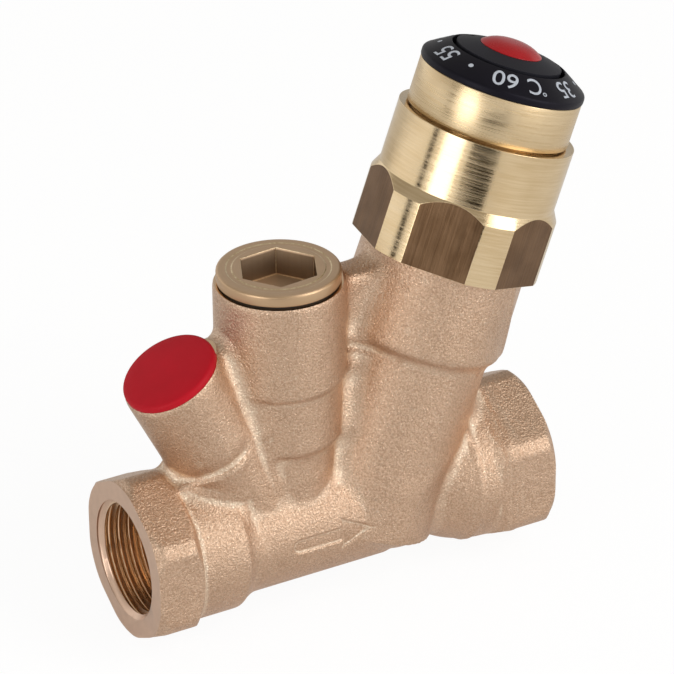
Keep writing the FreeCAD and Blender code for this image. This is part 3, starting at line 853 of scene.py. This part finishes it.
# %% [markdown]
# ## Machining the casting
# The foundry leaves stock on every face that has to seal, and the machine shop takes it off. The
# same order is kept here. Round cutters face the ends flat, the taps cut the threads, a cone opens
# the mouth of each, and turned cutters open the waterways. A Boolean gives the cut faces the
# cutter's own material, so all that a tool has touched comes out as machined metal by itself.

# %% Face the ends, cut the threads and open the waterways


def take_away(piece, cutter, **settings):
    """Cuts the shape of a cutter out of a piece and puts the cutter away."""
    use_tool(piece, "BOOLEAN", operation="DIFFERENCE", object=cutter, **settings)
    discard(cutter)


def cut(piece, *cutters):
    """Takes cutters away from a piece, one by one, and leaves their finish on the cut faces."""
    for cutter in cutters:
        coat(cutter, machined_gunmetal)
        take_away(piece, cutter, solver="MANIFOLD", material_mode="TRANSFER")


def passage(name, start, end, radius):
    """A drilled passage from one point in the middle plane to another."""
    run = (Vector(end) - Vector(start)) * MM
    drill = turn(name, [(radius, 0), (radius, run.length / MM)], steps=48)
    return settle(drill, facing(Vector(start) * MM, run))


coat(casting, cast_gunmetal)
for place, height, reach in FACES:
    facer = turn("facing_cutter", [(reach, height), (reach, height + 3 * STOCK)], steps=64)
    cut(casting, settle(facer, place))
cut(casting, *taps)
for place in (INLET, OUTLET):
    mouth = turn("mouth_cutter", [(11.2, -1), (10.2, 0), (9.3, 0.9), (9.3, 15), (4, 18)])
    cut(casting, settle(mouth, place))
chamber = turn("chamber_cutter", [(4.6, -4.2), (4.6, 6), (6.2, 6), (6.2, 4.5), (9.9, 4.5),
                                  (9.9, 32), (12.2, 32), (12.2, 46)])
cut(casting, settle(chamber, BONNET))
cut(casting, passage("under_seat_drill", (14, 0, 0), (46.5, 0, -4.35), 4.8),
    passage("outlet_drill", (55.5, 0, 5.5), (61.5, 0, 5.5), 4.2),
    settle(turn("plug_drill", [(3, 0), (3, 29), (8.3, 31), (8.3, 46)], steps=96), PLUG),
    settle(turn("pocket_drill", [(0.5, 14.2), (4.5, 16), (4.5, 38)], steps=64), POCKET))
smooth(casting, 40)
dress(casting, Matrix(), cast_gunmetal, "cast_body", "valve", "valve_body")
print("casting materials", [m.name for m in casting.data.materials])

# %% [markdown]
# ## The bonnet
# The bonnet is turned from hexagon bar that is 30 mm across its flats. Its round part is turned
# first, with a shoulder cone, and the flats then come from six straight cuts. Where a flat meets
# the cone, the cut leaves an arch by itself, as it does on the real piece. The bore and the slots
# that guide the lift nut are cut inside.

# %% Turn the bonnet and cut its flats
FLATS = 30.1
FLAT_ANGLES = [math.radians(50 + 60 * k) for k in range(6)]
FLAT_WAYS = [Vector((math.cos(angle), math.sin(angle), 0)) for angle in FLAT_ANGLES]
OUTSIDE = [(12.1, 33), (12.1, SEAT), (16, SEAT), (16, 54.5), (15, 56.4), (15, 67), (12.6, 67),
           (12.6, 67.9), (11, 67.9), (11, 72.5)]
BORE = [(5.05, 72.5), (5.05, 66), (10, 66), (10, 33)]


def block(size, centre):
    """A block of a size at a place on the bench, in millimetres."""
    piece = begin("block", bpy.ops.mesh.primitive_cube_add, size=MM)
    open_piece(piece)
    bpy.ops.transform.resize(value=size)
    bpy.ops.transform.translate(value=Vector(centre) * MM)
    return settle(piece)


bonnet = turn("bonnet_shell", OUTSIDE + BORE, hollow=True, steps=192)
open_piece(bonnet)
for way in FLAT_WAYS:
    slice_off(way * FLATS / 2 * MM, way)
take_away(bonnet, block((21.5, 4.1, 30), (0, 0, 45)), solver="EXACT")
break_edges(bonnet, 0.12, angle=24)
smooth(bonnet, 15)
coat(bonnet, bonnet_brass, bar_skin)
for face in bonnet.data.polygons:
    for way in FLAT_WAYS:
        if face.normal.dot(way) > 0.9995 and face.center.dot(way) > (FLATS / 2 - 0.02) * MM:
            face.material_index = 1
dress(bonnet, BONNET, bonnet_brass, "bonnet", "valve", "bonnet")

# %% [markdown]
# ## Collar, scale ring, disc and dome
# Above the bonnet sit a plain turned collar, the black ring with the scale, and inside the ring
# the disc that turns with the spindle, with the red dome in its middle. All are round, so all are
# turned, and their edges are then bevelled. The disc's pointer is a notch in its rim, cut with a
# block.

# %% Collar, scale ring, pointer disc and dome
collar = turn("collar", [(11.1, 67.9), (12.75, 67.9), (12.75, 67.3), (13.75, 67.3), (13.75, 74.9),
                         (11.1, 74.9)], hollow=True, steps=192)
break_edges(collar, 0.16)
dress(collar, BONNET, collar_brass, "scale_collar", "valve", "scale_collar")

ring = turn("dial_ring", [(9.5, 73.5), (10.8, 73.5), (10.8, 74.9), (13.87, 74.9), (13.87, 76.1),
                          (9.6, 78.83)], hollow=True, steps=192)
break_edges(ring, 0.32, segments=3, angle=20)
dress(ring, BONNET, black_plastic, "scale_ring", "valve", "scale_ring")

POINTER = 116
disc = turn("dial_disc", [(3.5, 75.2), (8.3, 75.2), (8.9, 75.8), (8.9, 79.0), (5.6, 79.9),
                          (4.6, 79.9), (4.6, 77.2), (3.5, 77.2)], hollow=True, steps=160)
notch = block((2.6, 1.0, 2.0), (8.4, 0, 79.65))
take_away(disc, settle(notch, Matrix.Rotation(math.radians(POINTER), 4, "Z")), solver="EXACT")
break_edges(disc, 0.12, angle=14)
dress(disc, BONNET, disc_plastic, "pointer_disc", "setting", "pointer_disc")

DOME_RADIUS, DOME_FOOT, DOME_RISE = 5.2, 80.0, 1.35
INWARD = (1, 0.98, 0.95, 0.9, 0.84, 0.77, 0.7, 0.6, 0.5, 0.4, 0.3, 0.2, 0.1, 0.04)
crown = [(DOME_RADIUS * share, DOME_FOOT + DOME_RISE * (1 - share ** 3)) for share in INWARD]
dome = turn("red_dome", [(4.5, 77.6), (4.5, 79.9), (DOME_RADIUS, 79.9)] + crown, steps=96)
break_edges(dome, 0.08)
dress(dome, BONNET, dome_plastic, "tamper_cap", "setting", "tamper_cap")

# %% [markdown]
# ## The scale
# The numbers are printed on the cone of the ring, with their tops outwards, every 60 degrees. Text
# is typed flat and a thousand times too large, because very small letters lose their holes when
# they are filled. It is turned into a mesh, divided, and laid over its place at its true size, like
# a transfer. A Shrinkwrap modifier lets it down on the cone, and Solidify gives the print its
# thickness. A dot stands halfway between two numbers, and where the scale ends and starts again, a
# degree sign and a C stand there instead.

# %% Print the scale on the ring
MARKS = (("35", 296), ("40", 356), ("45", 56), ("50", 116), ("55", 176), ("60", 236), ("C", 261),
         ("o", 268.5))
DOTS = (26, 86, 146, 205, 326)
NUMBERS_AT, DEGREE_AT = 11.6, 12.9
NUMBER_SIZE, DEGREE_SIZE, DOT_RADIUS = 4.5, 1.5, 0.42
NARROW_C, BOLDER, FILM, HOVER = 0.84, 0.02, 0.03, 0.4
CONE_TOP, CONE_FOOT = (9.5, 78.9), (13.87, 76.1)
SLOPE = math.atan2(CONE_TOP[1] - CONE_FOOT[1], CONE_FOOT[0] - CONE_TOP[0])


def over_cone(angle, radius):
    """A place just above the cone: X reads clockwise, Y points down the slope and outwards."""
    height = CONE_TOP[1] - (radius - CONE_TOP[0]) * math.tan(SLOPE) + HOVER
    spot = Matrix.Translation((radius * MM, 0, height * MM)) @ Matrix.Rotation(SLOPE, 4, "Y")
    round_ring = BONNET @ Matrix.Rotation(math.radians(angle), 4, "Z")
    return round_ring @ spot @ Matrix.Rotation(math.radians(-90), 4, "Z")


def print_on_ring(piece):
    """Lets a flat piece down on the ring and gives it a thickness."""
    open_piece(piece)
    bpy.ops.mesh.subdivide(number_cuts=3)
    put_down()
    use_tool(piece, "SHRINKWRAP", target=ring, wrap_method="PROJECT", use_project_z=True,
             use_negative_direction=True, use_positive_direction=False, offset=FILM / 2 * MM)
    use_tool(piece, "SOLIDIFY", thickness=FILM * MM, offset=1)
    return settle(piece)


prints = []
for words, angle in MARKS:
    text = begin("mark", bpy.ops.object.text_add)
    text.data.body = words
    text.data.align_x = "CENTER"
    text.data.align_y = "CENTER"
    text.data.size = DEGREE_SIZE if words == "o" else NUMBER_SIZE
    text.data.offset = BOLDER
    bpy.ops.object.convert(target="MESH")
    text = bpy.context.object
    settle(text, Matrix.Diagonal((NARROW_C * MM if words == "C" else MM, MM, MM, 1)))
    text.matrix_world = over_cone(angle, DEGREE_AT if words == "o" else NUMBERS_AT)
    prints.append(print_on_ring(text))
for angle in DOTS:
    dot = begin("dot", bpy.ops.mesh.primitive_circle_add, vertices=28, radius=DOT_RADIUS * MM,
                fill_type="TRIFAN")
    dot.matrix_world = over_cone(angle, NUMBERS_AT)
    prints.append(print_on_ring(dot))
pick_up(*prints)
bpy.ops.object.join()
scale = bpy.context.object
scale.name = scale.data.name = "dial_scale"
coat(scale, white_print)
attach(scale, "valve")
print("marks printed", len(prints), "faces", len(scale.data.polygons))

# %% [markdown]
# ## Plug and pocket cap
# The plug has a flange with a shallow ring in its face and a 12 mm hexagon socket. The flange is
# turned, with a short skirt that reaches down outside the dark seal, the socket is cut with a
# six-sided block, and the bevel leaves the bright line that runs round the socket's mouth. The
# pocket's cap is a low red disc with a soft edge.

# %% Socket plug and pocket cap
KEY_CORNER = 12 / math.sqrt(3)
KEY_TURN = math.radians(5.7)
plug = turn("socket_plug", [(7.4, 34), (8.2, 34.8), (8.2, 44.9), (9.78, 44.9), (9.78, 44.5)]
            + corner(10.0, 44.65, 0.2, -90, 0, 3) + corner(9.65, 45.95, 0.55, 0, 90, 5)
            + [(8.6, 46.5), (8.5, 46.4), (7.7, 46.4), (7.6, 46.5)], steps=160)
key = turn("socket_cutter", [(KEY_CORNER, 41.6), (KEY_CORNER, 48)], steps=6)
first = key.data.vertices[0].co
settle(key, Matrix.Rotation(KEY_TURN - math.atan2(first.y, first.x), 4, "Z"))
take_away(plug, key, solver="EXACT")
coat(plug, plug_brass, worn_brass)
break_edges(plug, 0.22, angle=40, finish=1)
dress(plug, PLUG, plug_brass, "bypass_plug", "valve", "bypass_plug")

cap = turn("pocket_cap", [(3.6, 28), (4.4, 28.8), (4.4, POCKET_TOP), (8.15, POCKET_TOP)]
           + corner(7.45, 36.5, 0.7, 0, 80, 7)
           + [(6.0, 37.29), (4.0, 37.37), (2.0, 37.43), (0.3, 37.45)])
break_edges(cap, 0.1, angle=35)
dress(cap, POCKET, cap_plastic, "port_cap", "valve", "port_cap")

# %% [markdown]
# ## Springs
# The packed springs have square wire, to keep them light. Here each is wound from round wire: a
# small circle is swept along a helix by a Screw modifier, and its ends are filled.


def wind(name, radius, wire, bottom, top, turns, node, body):
    """Winds a compression spring between two heights on the bonnet's axis."""
    end = (radius * MM, 0, (bottom + wire / 2) * MM)
    coil = settle(begin(name, bpy.ops.mesh.primitive_circle_add, vertices=14, radius=wire / 2 * MM,
                        rotation=(math.pi / 2, 0, 0), location=end))
    steps = int(turns * 40)
    use_tool(coil, "SCREW", axis="Z", angle=turns * 2 * math.pi, iterations=1, steps=steps,
             screw_offset=(top - bottom - wire) * MM, render_steps=steps)
    open_piece(coil)
    close_ends()
    smooth(coil, 40)
    dress(coil, BONNET, spring_steel, "spring_steel", body, node)
    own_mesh(coil)


wind("return_coil", radius=8.0, wire=1.2, bottom=4.5, top=17.5, turns=3.5, node="return_spring",
     body="valve")
wind("safety_coil", radius=6.2, wire=1.3, bottom=47.5, top=54.0, turns=3.5, node="safety_spring",
     body="lift")

# %% [markdown]
# ## Pieces that stay as they are
# The seals, the spindle, the nut and the wax element keep their packed shapes, which are right.
# They only need their finishes.

# %% Finish the packed pieces
FINISHES = {
    black_rubber: ("bonnet_seal", "plug_seal", "spindle_seal_lower", "spindle_seal_upper",
                   "cone_seal", "element_boot"),
    inner_brass: ("setting_spindle", "lift_nut", "thrust_cup", "element_guide", "valve_cone"),
    spring_steel: ("spindle_clip", "cup_clip"),
    pin_steel: ("element_pin",),
    drawn_copper: ("element_cup",),
    washer_white: ("thrust_washer",),
    wax: ("wax_charge",),
}
for finish, names in FINISHES.items():
    for name in names:
        coat(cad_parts[name], finish)
print("packed pieces finished", sum(len(names) for names in FINISHES.values()))

# %% [markdown]
# ## Floor and room
# The photograph is a studio picture on white. A pale floor takes a soft shadow and is white to the
# camera. The world is a white room whose ceiling is dimmer and a little warmer, and which is dim at
# the back on the right, so that the casting's upper faces are darker than its sides.

# %% Floor and world
floor_height = cad_box[0].z - 0.3 * MM


def white_to_eye(tree, eye, mirror):
    """One share for the camera, another for mirror and glass rays, and 0 for other light."""
    path = tree.nodes.new("ShaderNodeLightPath")
    seen = Wire(tree, path.outputs["Is Camera Ray"]) * eye
    for ray in ("Is Glossy Ray", "Is Transmission Ray"):
        seen = seen.sum("MAXIMUM", seen, Wire(tree, path.outputs[ray]) * mirror)
    return seen


floor = begin("floor", bpy.ops.mesh.primitive_plane_add, size=6, location=(0, 0, floor_height))
paper = Finish("floor_paper", roughness=0.9)
paper.feed(base_color=paper.place.noise(40).colours((0.86, 0.86, 0.86), (0.90, 0.90, 0.90)))
glow = paper.place.node("ShaderNodeEmission", {}, {"Color": (1, 1, 1, 1), "Strength": 1.05})
mixed = paper.place.node("ShaderNodeMixShader", {}, {
    0: white_to_eye(paper.tree, 0.88, 0.2), 1: Wire(paper.tree, paper.shader.outputs[0]), 2: glow})
paper.tree.links.new(mixed.socket, paper.tree.nodes["Material Output"].inputs["Surface"])
coat(floor, paper)

world = bpy.data.worlds.new("studio")
bpy.context.scene.world = world
world.use_nodes = True
sky = world.node_tree
look = Wire(sky, sky.nodes.new("ShaderNodeTexCoord").outputs["Generated"])
ceiling = look.part("Z").steep(0.12, 0.5)
behind = look.part("Y").steep(0.1, 0.6) * look.part("X").steep(-0.2, 0.4)
backdrop = sky.nodes["Background"]
dim = ceiling.sum("MAXIMUM", ceiling, behind)
sky.links.new(ceiling.colours((1, 1, 1), (1, 0.96, 0.89)).socket, backdrop.inputs["Color"])
sky.links.new((1.05 - dim * 0.63).socket, backdrop.inputs["Strength"])
print("floor at", round(floor_height / MM, 2), "mm")

# %% [markdown]
# ## Cards and lamps
# Turned brass only looks like brass if it has something dark to reflect as well, so a studio stands
# black cards where the picture doesn't show them: here a low wide one in front, and a narrow one
# far at the left. They are hidden from the camera and cast no shadow. Two large soft lamps do the
# rest, a tall one on the right of the camera and a weaker one at the left.

# %% Cards and lamps
CARDS_FACE = Vector((45 * MM, 0, 40 * MM))
LAMPS_FACE = Vector((45 * MM, 0, 30 * MM))
card_black = Finish("card_black", roughness=0.9)
soot = card_black.place.noise(60).colours((0.02, 0.018, 0.016), (0.04, 0.036, 0.032))
card_black.feed(base_color=soot)


def card(name, centre, width, height):
    """A black card that faces the valve and is seen only in reflections."""
    piece = begin(name, bpy.ops.mesh.primitive_grid_add, size=1, x_subdivisions=2, y_subdivisions=2)
    stands = facing(Vector(centre), CARDS_FACE - Vector(centre))
    piece.matrix_world = stands @ Matrix.Diagonal((width, height, 1, 1))
    coat(piece, card_black)
    piece.visible_camera = False
    piece.visible_shadow = False
    piece.visible_diffuse = False


def lamp(name, turn_to, rise, distance, width, height, power):
    """A soft lamp that looks at the valve, turned from the X axis and raised by degrees."""
    flat = distance * math.cos(math.radians(rise))
    way = Vector((flat * math.cos(math.radians(turn_to)), flat * math.sin(math.radians(turn_to)),
                  distance * math.sin(math.radians(rise))))
    light = begin(name, bpy.ops.object.light_add, type="AREA", location=LAMPS_FACE + way)
    light.data.shape = "RECTANGLE"
    light.data.size = width
    light.data.size_y = height
    light.data.energy = power
    light.rotation_euler = (-way).to_track_quat("-Z", "Y").to_euler()


card("card_front", centre=(-0.144, -0.364, 0.04), width=0.27, height=0.115)
card("card_left", centre=(-0.68, 0.065, 0.12), width=0.09, height=0.5)
lamp("key_lamp", turn_to=-57, rise=30, distance=0.9, width=0.45, height=0.85, power=3.3)
lamp("left_lamp", turn_to=-158, rise=12, distance=0.8, width=0.36, height=0.55, power=1.3)

bpy.context.scene.view_settings.view_transform = "Standard"
print("studio ready, lights", [light.name for light in bpy.data.lights])

# %% [markdown]
# ## Sizes
# The dressed valve has to stay inside the packed model's box.
